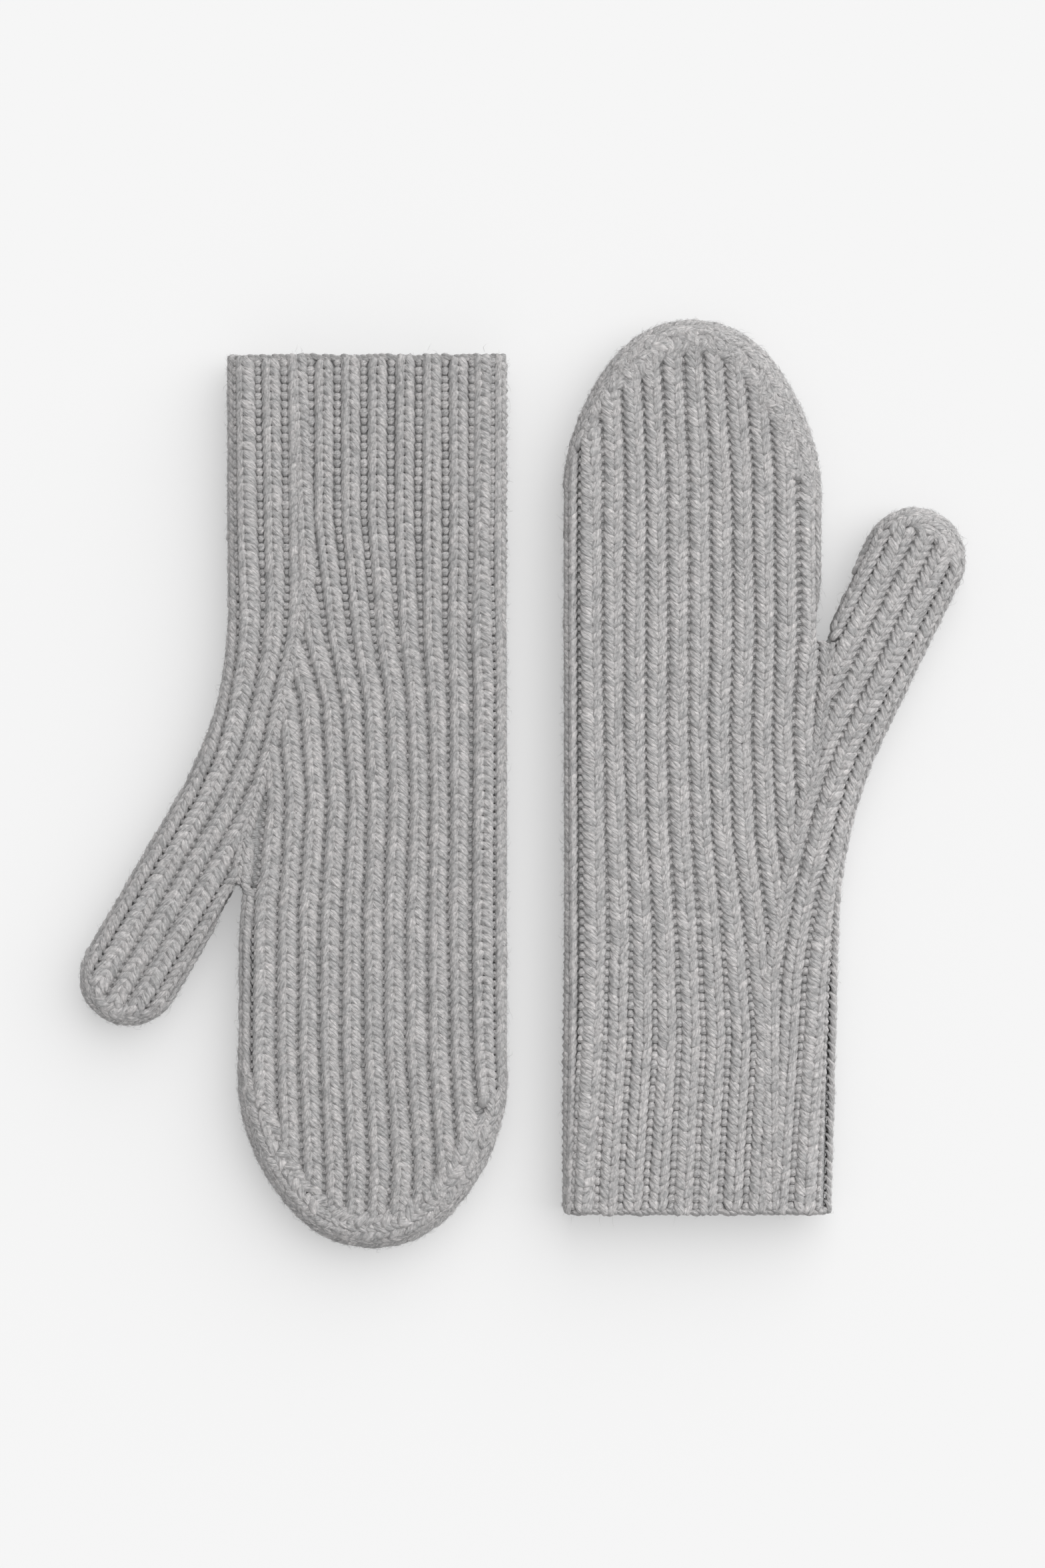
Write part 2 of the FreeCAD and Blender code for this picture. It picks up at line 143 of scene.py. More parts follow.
MITTENS = {
    "left": {
        "laid": (-5.9, 144.2),
        "heading": -1,
        "upper_face": "back",
        "length": 300.0,
        "mouth_width": 93.0,
        "cuff_width": 93.0,
        "gusset_start": 85.0,
        "gusset_curve": 128.0,
        "outer_angle": 30.4,
        "inner_angle": 31.0,
        "thumb_edge": 59.5,
        "tip_radius": 15.9,
        "hand_width": 89.4,
        "crown_length": 58.0,
        "crown_tip": 35.0,
        "wrist_fold": 70.0,
        "knuckle_fold": 207.0,
        "thumb_fold": (95.4, 187.4),
        # Where the furrows between the ribs run: (y, first furrow, spacing).
        "furrows": ((0, 1.8, 9.1), (55, 1.9, 9.1), (95, 4.2, 8.0), (117, 4.6, 7.2), (150, 4.8, 6.9),
                    (188, 4.8, 7.2), (234, 4.2, 7.3), (275, 0.9, 7.5), (290, 3.6, 7.2)),
        "edge_shift": (3.0, -1.4),
        # The same on the thumb side, measured from that edge.
        "side_furrows": ((0, 1.4, 8.6), (60, 2.4, 8.4), (80, 3.3, 8.2), (115, 4.2, 6.9),
                         (132, 5.4, 6.85), (150, 5.8, 6.95)),
        "side_edge": ((0, -4.57), (95, -4.57), (140, -1.2)),
        # The line where hand ribs and thumb ribs part: (y, x).
        "parting": ((0, 69.6), (75, 66.4), (95, 70.6), (129, 78.2), (163, 87.8), (180, 91.0)),
        "last_rib": 11,
        "band": ((234, -9), (252, 6), (266, 10.0), (300, 10.0)),
        "band_finish": (0.62, -1.3),
        "looseness": 0.36,
        "thumb_band": 4.6,
    },
    "right": {
        "laid": (14.2, -144.7),
        "heading": 1,
        "upper_face": "palm",
        "length": 300.5,
        "mouth_width": 89.4,
        "cuff_width": 91.8,
        "gusset_start": 97.0,
        "gusset_curve": 156.0,
        "outer_angle": 26.0,
        "inner_angle": 25.0,
        "thumb_edge": 57.9,
        "tip_radius": 16.4,
        "hand_width": 86.0,
        "crown_length": 61.0,
        "crown_tip": 33.0,
        "wrist_fold": 72.0,
        "knuckle_fold": 212.0,
        "thumb_fold": (91.3, 198.2),
        "furrows": ((0, 1.8, 8.4), (60, 5.4, 8.3), (94, 6.8, 7.7), (128, 6.5, 7.2), (162, 6.0, 7.1),
                    (196, 5.5, 7.3), (250, 5.8, 7.2), (286, 4.8, 7.0), (303, 10.0, 5.9)),
        "edge_shift": (0.6, 0.0),
        "side_furrows": ((0, 4.9, 8.4), (80, 2.6, 8.2), (118, -0.8, 7.2), (140, -1.1, 7.0)),
        "side_edge": ((0, -4.57), (300, -4.57)),
        "parting": ((0, 69.6), (80, 69.0), (117, 75.8), (162, 85.9), (191, 89.4)),
        "last_rib": 11,
        "band": ((231, -9), (259, 2.0), (285, 2.6), (297, 5.5)),
        "band_finish": (0.66, -0.9),
        "looseness": 0.26,
        "thumb_band": 8.6,
    },
}


def turned(angle):
    """The unit vector that leans from +y towards +x by an angle."""
    return np.array([np.sin(angle), np.cos(angle)])


def straight(start, end, step=1.0):
    count = max(2, int(np.linalg.norm(np.subtract(end, start)) / step))
    part = np.linspace(0, 1, count, endpoint=False)[:, None]
    return np.asarray(start) * (1 - part) + np.asarray(end) * part


def bow(centre, radius, start, end, step=1.0):
    """Points round a centre, by their angle from +x."""
    count = max(4, int(abs(end - start) * radius / step))
    angle = np.linspace(start, end, count, endpoint=False)
    return np.stack([centre[0] + radius * np.cos(angle), centre[1] + radius * np.sin(angle)], axis=1)


def read(rows, where, column=1):
    """A column of a table, read between its rows."""
    values = np.array(rows, dtype=float)
    return np.interp(where, values[:, 0], values[:, column])


def running(line):
    """How far along a line each of its points is."""
    return np.concatenate([[0], np.cumsum(np.linalg.norm(np.diff(line, axis=0), axis=1))])


def headings(line):
    """Unit vectors along a line."""
    ahead = np.gradient(line, axis=0)
    return ahead / np.linalg.norm(ahead, axis=1)[:, None]


def leftward(ahead):
    return np.stack([-ahead[:, 1], ahead[:, 0]], axis=1)


class Mitten:
    """One mitten's outline, and how its flat fabric wraps over the rim."""

    def __init__(self, side, sizes, seed):
        self.side = side
        self.sizes = sizes
        self.random = np.random.default_rng(seed)
        # Where the slow wander of the hand's furrows starts, and of the thumb's.
        self.hand_phase, self.thumb_phase = self.random.uniform(0, 2 * HALF_TURN, 12)[4:6]
        self.draw_outline()
        self.chart_distance()

    def draw_outline(self):
        s = self.sizes
        lean = math.atan2(s["cuff_width"] - s["mouth_width"], s["gusset_start"])
        outer = math.radians(s["outer_angle"])
        inner = math.radians(s["inner_angle"])
        mouth = np.array([s["mouth_width"] - BELOW_MOUTH * math.tan(lean), -BELOW_MOUTH])
        bend = np.array([s["cuff_width"], s["gusset_start"]])
        across = np.array([math.cos(lean), -math.sin(lean)])
        bend_centre = bend + s["gusset_curve"] * across
        curve = bow(bend_centre, s["gusset_curve"], HALF_TURN - lean, HALF_TURN - outer)
        leave = bend_centre - s["gusset_curve"] * np.array([math.cos(outer), -math.sin(outer)])
        shoulder = leave + s["thumb_edge"] * turned(outer)
        tip_centre = shoulder + s["tip_radius"] * np.array([-math.cos(outer), math.sin(outer)])
        tip = bow(tip_centre, s["tip_radius"], -outer, HALF_TURN - inner)
        inside = tip_centre - s["tip_radius"] * np.array([math.cos(inner), -math.sin(inner)])
        drop = (inside[0] - s["hand_width"]) / math.sin(inner)
        corner = inside - drop * turned(inner)
        crotch_radius = 1.0
        reach = crotch_radius / math.tan(inner / 2)
        hook = corner + crotch_radius / math.sin(inner / 2) * turned(inner / 2)
        crotch = bow(hook, crotch_radius, -inner, -HALF_TURN, 0.3)
        half = s["hand_width"] / 2
        rise = s["crown_length"] - s["crown_tip"]
        round_radius = (half ** 2 + rise ** 2 - s["crown_tip"] ** 2) / (2 * (half - s["crown_tip"]))
        level = s["length"] - s["crown_length"]
        meet = math.atan2(rise, round_radius - half)
        self.thumb_side = np.concatenate([
            straight(mouth, bend),
            curve,
            straight(leave, shoulder),
        ])
        self.outline = np.concatenate([
            self.thumb_side,
            tip,
            straight(inside, corner + reach * turned(inner)),
            crotch,
            straight((s["hand_width"], corner[1] + reach), (s["hand_width"], level)),
            bow((s["hand_width"] - round_radius, level), round_radius, 0, meet),
            bow((half, s["length"] - s["crown_tip"]), s["crown_tip"], meet, HALF_TURN - meet),
            bow((round_radius, level), round_radius, HALF_TURN - meet, HALF_TURN),
            straight((0, level), (0, -BELOW_MOUTH)),
            [(0, -BELOW_MOUTH)],
        ])
        self.inward = leftward(headings(self.outline))
        self.crotch = corner + reach * turned(inner / 2)
        self.thumb_way = turned((outer + inner) / 2)
        self.half_split = math.tan(inner / 2)
        self.level = level
        self.thumb_end = np.dot(tip_centre - self.crotch, self.thumb_way)

    def chart_distance(self):
        """A chart of each flat point's distance inside the outline, and the way in from its nearest edge."""
        self.pitch = 0.5
        self.origin = np.array([-12.0, -11.0])
        far = self.outline.max(axis=0) + 9
        columns, rows = ((far - self.origin) / self.pitch).astype(int) + 1
        grid_x, grid_y = np.meshgrid(np.arange(columns), np.arange(rows), indexing="ij")
        points = np.stack([grid_x.ravel(), grid_y.ravel()], axis=1) * self.pitch + self.origin
        chart = np.zeros((len(points), 3))
        batch = 20000
        for first in range(0, len(points), batch):
            some = points[first:first + batch]
            gap = ((some[:, None, 0] - self.outline[None, :, 0]) ** 2
                   + (some[:, None, 1] - self.outline[None, :, 1]) ** 2)
            nearest = gap.argmin(axis=1)
            way = self.inward[nearest]
            apart = some - self.outline[nearest]
            chart[first:first + batch, 0] = (apart * way).sum(axis=1)
            chart[first:first + batch, 1:] = way
        self.chart = chart.reshape(columns, rows, 3)

    def look_up(self, x, y):
        column = (x - self.origin[0]) / self.pitch
        row = (y - self.origin[1]) / self.pitch
        limit_x = self.chart.shape[0] - 2
        limit_y = self.chart.shape[1] - 2
        i = np.clip(column.astype(int), 0, limit_x)
        j = np.clip(row.astype(int), 0, limit_y)
        u = np.clip(column - i, 0, 1)[..., None]
        v = np.clip(row - j, 0, 1)[..., None]
        chart = self.chart
        value = ((chart[i, j] * (1 - u) + chart[i + 1, j] * u) * (1 - v)
                 + (chart[i, j + 1] * (1 - u) + chart[i + 1, j + 1] * u) * v)
        return value[..., 0], value[..., 1], value[..., 2]

    def depth(self, x, y):
        return self.look_up(np.asarray(x, dtype=float), np.asarray(y, dtype=float))[0]

    def drape(self, flat, face):
        """Flat points (x, y, height) wrapped over the rim, on the upper face (1) or the lower (-1)."""
        x, y, height = flat[..., 0], flat[..., 1], flat[..., 2]
        inside, way_x, way_y = self.look_up(x, y)
        length = np.maximum(np.hypot(way_x, way_y), FINEST)
        way_x = way_x / length
        way_y = way_y / length
        bend = np.clip((inside + OVERHANG) / RIM, -QUARTER_TURN, QUARTER_TURN)
        height = height + RIM_SWELL * np.exp(-(bend * RIM / RIM_SWELL_REACH) ** 2)
        out = np.cos(bend)
        up = np.sin(bend)
        shift = np.where(bend < QUARTER_TURN, RIM * (1 - np.maximum(out, 0) ** RIM_SQUARENESS) - inside, 0)
        z = MIDDLE + RIM * np.sign(up) * np.abs(up) ** RIM_SQUARENESS + height * up
        if face < 0:
            z = THICKNESS - z
        return np.stack([x + way_x * (shift - out * height), y + way_y * (shift - out * height), z], axis=-1)

    def place(self, points):
        """Points of the mitten in the frame, in metres."""
        s = self.sizes
        placed = np.empty_like(points)
        placed[..., 0] = s["laid"][0] + s["heading"] * points[..., 0]
        placed[..., 1] = s["laid"][1] + s["heading"] * points[..., 1]
        placed[..., 2] = points[..., 2]
        return placed * MM

    def thumbward(self, x, y):
        """How far a point is along the thumb, from the crotch."""
        return (x - self.crotch[0]) * self.thumb_way[0] + (y - self.crotch[1]) * self.thumb_way[1]

    def overhang(self, beyond):
        """How far fabric wraps past an edge beside the crotch, where hand and thumb share the room."""
        room = beyond * self.half_split
        return np.where(beyond > 0, np.clip(room, 0.2, OVERHANG), OVERHANG)

    def crown_band(self, y):
        """How far in from the edge the plain band round the crown reaches."""
        return read(self.sizes["band"], y)

    def thumb_band(self, thumbward):
        start, full = self.thumb_end - 4, self.thumb_end + 9
        return np.interp(thumbward, (start, full), (-NEVER, self.sizes["thumb_band"]))

    def midway(self, y):
        """How far past the hand's edge the line between the hand and the thumb runs."""
        return (y - self.crotch[1]) * self.half_split

    def parting(self, y):
        return read(self.sizes["parting"], y)

    def furrow(self, index, y):
        rows = self.sizes["furrows"]
        first = read(rows, y)
        wander = 0.22 * np.sin(y / 27 + index * 1.7 + self.hand_phase) + 0.12 * np.sin(y / 9 + index * 2.9)
        if index == 0:
            first = first + np.interp(y, (60, 110), self.sizes["edge_shift"])
        return first + read(rows, y, 2) * index + wander

    def side_furrow(self, index, run):
        rows = self.sizes["side_furrows"]
        wander = 0.2 * np.sin(run / 25 + index * 2.1 + self.thumb_phase)
        return read(rows, run) + read(rows, run, 2) * index + wander


class Column:
    """A column of stitches: its middle line, and half its width as a vector to its right-hand furrow."""

    def __init__(self, middle, half, relief=1.0, gap=RIB_GAP):
        self.run = running(middle)
        self.middle = middle
        self.half = half
        self.relief = relief
        self.gap = gap

    def at(self, run):
        middle = np.stack([np.interp(run, self.run, self.middle[:, axis]) for axis in (0, 1)], axis=-1)
        half = np.stack([np.interp(run, self.run, self.half[:, axis]) for axis in (0, 1)], axis=-1)
        return middle, half


def between(left, right, **finish):
    """The column between two furrows, each given as points."""
    return Column((left + right) / 2, (right - left) / 2, **finish)


def hand_columns(mitten):
    """The ribs and furrows that run up the cuff and hand, as (ribs, furrows)."""
    s = mitten.sizes
    top = s["length"] + OVERHANG
    y = np.arange(0, top + 1, 1.0)
    left_edge = np.stack([np.full_like(y, EDGE_LINE - OVERHANG), y], axis=1)
    lines = [left_edge]
    last = s["last_rib"]
    for index in range(last + 1):
        lines.append(np.stack([mitten.furrow(index, y), y], axis=1))
    past = mitten.overhang(y - mitten.crotch[1])
    edge = np.stack([s["hand_width"] + np.maximum(past - EDGE_LINE, 0), y], axis=1)
    lines.append(edge)
    rims = [np.stack([np.full_like(y, -OVERHANG), y], axis=1),
            np.stack([s["hand_width"] + past, y], axis=1)]
    ribs = [between(a, b) for a, b in zip(lines[1:-2], lines[2:-1])]
    ribs += [between(a, b, gap=EDGE_GAP) for a, b in (lines[:2], lines[-2:])]
    return ribs, lines[1:-1] + rims


def thumb_columns(mitten):
    """What follows the thumb-side edge up to the thumb's tip: ribs, furrows, and ribs over the rims."""
    s = mitten.sizes
    edge = mitten.thumb_side
    ahead = headings(edge)
    inward = leftward(ahead)
    run = running(edge)
    extra = np.arange(1, s["tip_radius"] + 8)
    edge = np.concatenate([edge, edge[-1] + extra[:, None] * ahead[-1]])
    inward = np.concatenate([inward, np.repeat(inward[-1:], len(extra), axis=0)])
    run = np.concatenate([run, run[-1] + extra])
    keep = edge[:, 1] >= 0
    edge, inward, run = edge[keep], inward[keep], run[keep] - run[keep][0]
    offsets = [read(s["side_edge"], run)]
    first = 0
    if s["side_furrows"][-1][1] < 0:
        first = 1
        offsets = [mitten.side_furrow(0, run)]
    for index in range(first, 4 + first):
        offsets.append(mitten.side_furrow(index, run))
    width = 2 * s["tip_radius"]
    offsets.append(np.full_like(run, width + 1.3))
    lines = [edge + inward * offset[:, None] for offset in offsets]
    ribs = [between(b, a) for a, b in zip(lines[:-1], lines[1:])]
    half = np.maximum(offsets[0] + OVERHANG, 0.01)
    rim = edge - inward * OVERHANG
    wrap = [between(rim + inward * half[:, None], rim - inward * half[:, None])]
    inner_edge = edge + inward * width
    overhang = mitten.overhang(mitten.thumbward(inner_edge[:, 0], inner_edge[:, 1]))
    far_rim = inner_edge + inward * overhang[:, None]
    reach = np.maximum(width + overhang - offsets[-1], 0.01)
    wrap.append(between(far_rim + inward * reach[:, None], far_rim - inward * reach[:, None]))
    return ribs, lines, wrap


def parting_column(mitten):
    """The single column between the hand ribs and the thumb ribs."""
    y = np.arange(0, mitten.crotch[1] - 2, 1.0)
    middle = np.stack([mitten.parting(y), y], axis=1)
    width = np.interp(y, (60, 84, 140, 170), (4.1, 3.3, 3.0, 2.6))
    return Column(middle, np.stack([width, np.zeros_like(y)], axis=1))


def band_columns(mitten, reach, part, relief, gap):
    """Columns that follow the outline round a tip. part keeps the outline's points there."""
    keep = part(mitten.outline)
    edge = mitten.outline[keep]
    inward = mitten.inward[keep]
    columns = []
    offset = BAND_HALF - OVERHANG
    while offset < reach:
        columns.append((offset, Column(edge + inward * offset, -inward * BAND_HALF, relief=relief, gap=gap)))
        offset += 2 * BAND_HALF
    return columns


def stitch_legs(mitten, column, loose=0.0):
    """Every V stitch's two legs on a column, as flat points, with each leg's middle and its room there.

    The yarn's twist makes the left leg broad and slanting, and the right leg slim and steep.
    """
    random = mitten.random
    count = int(column.run[-1] / COURSE)
    base = np.repeat(((np.arange(count) + 0.5) * COURSE)[:, None], 2, axis=1)
    base = base + random.uniform(0, COURSE) + random.normal(0, 0.10 + 0.5 * loose, base.shape)
    part = np.linspace(0, 1, LEG_RINGS)
    reach = np.array(LEG_LENGTHS)[None, :, None]
    run = base[..., None] + reach * (part - 0.5)
    middle, half = column.at(run)
    width = 2 * np.linalg.norm(half, axis=-1)
    across = half / np.maximum(width[..., None] / 2, FINEST)
    along = np.stack([-across[..., 1], across[..., 0]], axis=-1)
    gap = column.gap
    body = np.where(width < FULL_RIB, width - gap, FULL_RIB - gap - 0.2 * (width - FULL_RIB))
    body = np.maximum(body, 0.3)
    start = np.array(LEG_STARTS)[None, :, None]
    end = np.array(LEG_ENDS)[None, :, None]
    splay = random.normal(0, 0.02 + 0.22 * loose, base.shape)[..., None]
    spread = 0.05 * np.clip(width - FULL_RIB, 0, 2) * np.array([-1, 1])[None, :, None]
    sideways = body * (start + spread + (end - start - spread) * part + splay * (2 * part - 1))
    slope = body * (end - start + 2 * splay) / reach
    path = middle + across * sideways[..., None]
    girth = np.sin(HALF_TURN * (0.30 + 0.55 * part)) ** 0.6
    size = random.normal(1, 0.05 + 0.1 * loose, base.shape)[..., None]
    wide = np.array(LEG_WIDTHS)[None, :, None] * body * girth * size
    thick = np.minimum(THICKEST, LEG_THICKNESS * body) * girth * size
    front = np.interp(part, LEG_PARTS, LEG_FRONT)
    height = front * column.relief - (1 - column.relief) * 0.95
    height = height + random.normal(0, 0.07 + 0.1 * loose, base.shape)[..., None]
    turn = -QUARTER_TURN + 2 * HALF_TURN * np.arange(LEG_SIDES) / LEG_SIDES
    square = (across - along * slope[..., None]) / np.hypot(1, slope)[..., None]
    flat = np.empty(path.shape[:3] + (LEG_SIDES, 3))
    flat[..., :2] = path[..., None, :] + square[..., None, :] * (wide[..., None] * np.cos(turn))[..., None]
    flat[..., 2] = height[..., None] + thick[..., None] * np.sin(turn)
    centre = path[:, :, LEG_RINGS // 2]
    shape = (-1, LEG_RINGS, LEG_SIDES, 3)
    return flat.reshape(shape), centre.reshape(-1, 2), body[:, :, LEG_RINGS // 2].ravel()


def furrow_bumps(mitten, line):
    """The purl bumps along a furrow, as flat points, and each bump's middle."""
    random = mitten.random
    run = running(line)
    count = int(run[-1] / COURSE)
    base = (np.arange(count) + 0.95) * COURSE + random.normal(0, 0.08, count)
    middle = np.stack([np.interp(base, run, line[:, axis]) for axis in (0, 1)], axis=-1)
    ahead = headings(middle)
    across = -leftward(ahead)
    part = np.linspace(-1, 1, BUMP_RINGS)
    up = middle[:, 1]
    cuff = np.interp(up, (50, 110), (1.18, 1.0))
    size = (cuff * random.normal(1, 0.07, count))[:, None]
    sideways = np.interp(up, CUFF_TO_HAND, BUMP_REACH)[:, None] * part * size
    lift = -0.55 * np.abs(part) ** 2
    radius = np.interp(up, CUFF_TO_HAND, BUMP_RADIUS)[:, None] * np.array(BUMP_GIRTH) * size
    path = middle[:, None] + across[:, None] * sideways[..., None] + ahead[:, None] * lift[None, :, None]
    turn = -QUARTER_TURN + 2 * HALF_TURN * np.arange(BUMP_SIDES) / BUMP_SIDES
    flat = np.empty((count, BUMP_RINGS, BUMP_SIDES, 3))
    flat[..., :2] = path[:, :, None] + ahead[:, None, None] * (radius[..., None] * -np.cos(turn))[..., None]
    height = np.interp(up, CUFF_TO_HAND, BUMP_DEPTH)[:, None] - 0.45 * np.abs(part)[None]
    flat[..., 2] = height[..., None] + radius[..., None] * np.sin(turn)
    return flat, middle


def keep_clear(mitten, points, belongs, clear):
    """Which of the hand's or the thumb's stitches stay: the ones clear of its band and of the parting."""
    x, y = points[:, 0], points[:, 1]
    inside = mitten.depth(x, y)
    right_of = x - mitten.parting(y)
    above = y > mitten.crotch[1] - 1
    thumb_edge = mitten.sizes["hand_width"] - 1 + mitten.midway(y)
    on_thumb = np.where(above, x > thumb_edge, right_of >= 0)
    kept = inside > -OVERHANG - 0.35
    if belongs == "hand":
        gap = np.where(above, NEVER, -right_of)
        return kept & ~on_thumb & (inside > mitten.crown_band(y)) & (gap > clear)
    gap = np.where(above, NEVER, right_of)
    return kept & on_thumb & (inside > mitten.thumb_band(mitten.thumbward(x, y))) & (gap > clear)


def make_mesh(name, vertices, faces, uvs, strand):
    mesh = bpy.data.meshes.new(name)
    loops = np.concatenate([group.ravel() for group in faces]).astype(np.int32)
    sizes = np.concatenate([np.full(len(group), group.shape[1]) for group in faces])
    starts = np.concatenate([[0], np.cumsum(sizes)[:-1]]).astype(np.int32)
    mesh.vertices.add(len(vertices))
    mesh.vertices.foreach_set("co", vertices.astype(np.float32).ravel())
    mesh.loops.add(len(loops))
    mesh.loops.foreach_set("vertex_index", loops)
    mesh.polygons.add(len(starts))
    mesh.polygons.foreach_set("loop_start", starts)
    mesh.polygons.foreach_set("use_smooth", np.ones(len(starts), dtype=bool))
    if uvs is not None:
        layer = mesh.uv_layers.new(name="OFBake")
        corners = np.concatenate([group.reshape(-1, 2) for group in uvs])
        layer.uv.foreach_set("vector", corners.astype(np.float32).ravel())
    attribute = mesh.attributes.new("strand", "FLOAT_VECTOR", "POINT")
    attribute.data.foreach_set("vector", strand.astype(np.float32).ravel())
    mesh.update(calc_edges=True)
    mesh.validate()
    piece = bpy.data.objects.new(name, mesh)
    bpy.context.scene.collection.objects.link(piece)
    return piece


def face_outwards(piece, merge=None):
    """Turn a piece's faces outwards, after joining the points closer than a distance."""
    mesh = bmesh.new()
    mesh.from_mesh(piece.data)
    if merge:
        bmesh.ops.remove_doubles(mesh, verts=mesh.verts, dist=merge)
    bmesh.ops.recalc_face_normals(mesh, faces=mesh.faces)
    mesh.to_mesh(piece.data)
    mesh.free()


def tube_faces(count, rings, sides, first, flipped):
    """The faces of many closed tubes, and each face corner's place on its tube."""
    ring = np.arange(rings - 1)[:, None]
    side = np.arange(sides)[None, :]
    after = (side + 1) % sides
    quad = np.stack([ring * sides + side, (ring + 1) * sides + side, (ring + 1) * sides + after,
                     ring * sides + after], axis=-1).reshape(-1, 4)
    place = np.stack([
        np.stack([ring + 0 * side, side + 0 * ring], axis=-1),
        np.stack([ring + 1 + 0 * side, side + 0 * ring], axis=-1),
        np.stack([ring + 1 + 0 * side, side + 1 + 0 * ring], axis=-1),
        np.stack([ring + 0 * side, side + 1 + 0 * ring], axis=-1),
    ], axis=2).reshape(-1, 4, 2) / np.array([rings - 1, sides])
    start = np.arange(sides)[None, :]
    end = ((rings - 1) * sides + np.arange(sides))[::-1][None, :]
    if flipped:
        quad = quad[:, ::-1]
        place = place[:, ::-1]
        start = start[:, ::-1]
        end = end[:, ::-1]
    shift = (first + np.arange(count) * rings * sides)[:, None, None]
    faces = [quad[None] + shift, start[None] + shift, end[None] + shift]
    return [group.reshape(-1, group.shape[-1]) for group in faces], place


def tube_uvs(tile, tiles, place, sides):
    """Each tube's own square tile of the map."""
    corner = np.stack([tile % tiles, tile // tiles], axis=1)
    spot = corner[:, None, None] + TILE_MARGIN + (1 - 2 * TILE_MARGIN) * place[None]
    start = corner[:, None] + TILE_MARGIN + np.zeros((1, sides, 2))
    end = corner[:, None] + 1 - TILE_MARGIN + np.zeros((1, sides, 2))
    return [spot.reshape(-1, 4, 2) / tiles, start / tiles, end / tiles]


def tube_strand(mitten, count, rings, sides):
    """Each point's place along its strand and round it, with the strand's own number."""
    lengthwise = np.linspace(0, 1, rings)[None, :, None] * STRAND_LENGTH
    around = (np.arange(sides) / sides)[None, None, :]
    lot = mitten.random.uniform(0, 1, (count, 1, 1))
    return np.stack(np.broadcast_arrays(lengthwise, around, lot), axis=-1).reshape(-1, 3)


def stitches_piece(name, mitten, batches, face):
    """One mesh of many stitches. Each batch is an array of tubes: (count, rings, sides, 3) flat points."""
    total = sum(len(batch) for batch in batches)
    tiles = math.ceil(math.sqrt(total))
    vertices, faces, uvs, strands = [], [], [], []
    first = 0
    done = 0
    for batch in batches:
        count, rings, sides = batch.shape[:3]
        placed = mitten.place(mitten.drape(batch, face))
        vertices.append(placed.reshape(-1, 3))
        tubes, place = tube_faces(count, rings, sides, first, face < 0)
        faces += tubes
        uvs += tube_uvs(np.arange(done, done + count), tiles, place, sides)
        strands.append(tube_strand(mitten, count, rings, sides))
        first += count * rings * sides
        done += count
    return make_mesh(name, np.concatenate(vertices), faces, uvs, np.concatenate(strands))


def fuzz_piece(name, mitten, roots, face):
    """Loose fibres standing off the yarn, as thin three-sided spikes."""
    random = mitten.random
    count = len(roots)
    turn = random.uniform(0, 2 * HALF_TURN, count)
    curl = random.normal(0, 0.9, count)
    length = random.gamma(2.6, 0.42, count) + 0.45
    lift = random.uniform(0.1, 0.75, count)
    rings = 3
    part = np.linspace(0, 1, rings)
    angle = turn[:, None] + curl[:, None] * part
    step = (length / (rings - 1))[:, None]
    x = roots[:, :1] + np.cumsum(np.cos(angle) * step, axis=1)
    y = roots[:, 1:2] + np.cumsum(np.sin(angle) * step, axis=1)
    arch = roots[:, 2:3] + (length * lift)[:, None] * (part * (1.5 - 0.75 * part))
    sides = 3
    spin = 2 * HALF_TURN * np.arange(sides) / sides
    radius = FIBRE_RADIUS * np.array([1, 0.85, 0.3])
    flat = np.empty((count, rings, sides, 3))
    flat[..., 0] = x[..., None] - np.sin(angle)[..., None] * radius[None, :, None] * np.cos(spin)
    flat[..., 1] = y[..., None] + np.cos(angle)[..., None] * radius[None, :, None] * np.cos(spin)
    flat[..., 2] = arch[..., None] + radius[None, :, None] * np.sin(spin)
    return stitches_piece(name, mitten, [flat[~torn(mitten, flat)]], face)


def region_of(mitten, points):
    """Which piece a stitch goes in, as its place in REGIONS."""
    x, y = points[:, 0], points[:, 1]
    right_of = x - (mitten.sizes["hand_width"] - 1) > mitten.midway(y)
    on_thumb = (mitten.thumbward(x, y) > -3) & right_of
    lower, upper, thumb = range(len(REGIONS))
    return np.where(on_thumb, thumb, np.where(y < UPPER_START, lower, upper))


def torn(mitten, flat):
    """Stitches whose ends would wrap over two different edges."""
    inside, way_x, way_y = mitten.look_up(flat[..., 0], flat[..., 1])
    count = len(flat)
    way_x, way_y = way_x.reshape(count, -1), way_y.reshape(count, -1)
    agree = way_x * way_x[:, :1] + way_y * way_y[:, :1]
    return (agree.min(axis=1) < 0.3) & (inside.reshape(count, -1).min(axis=1) < RIM)


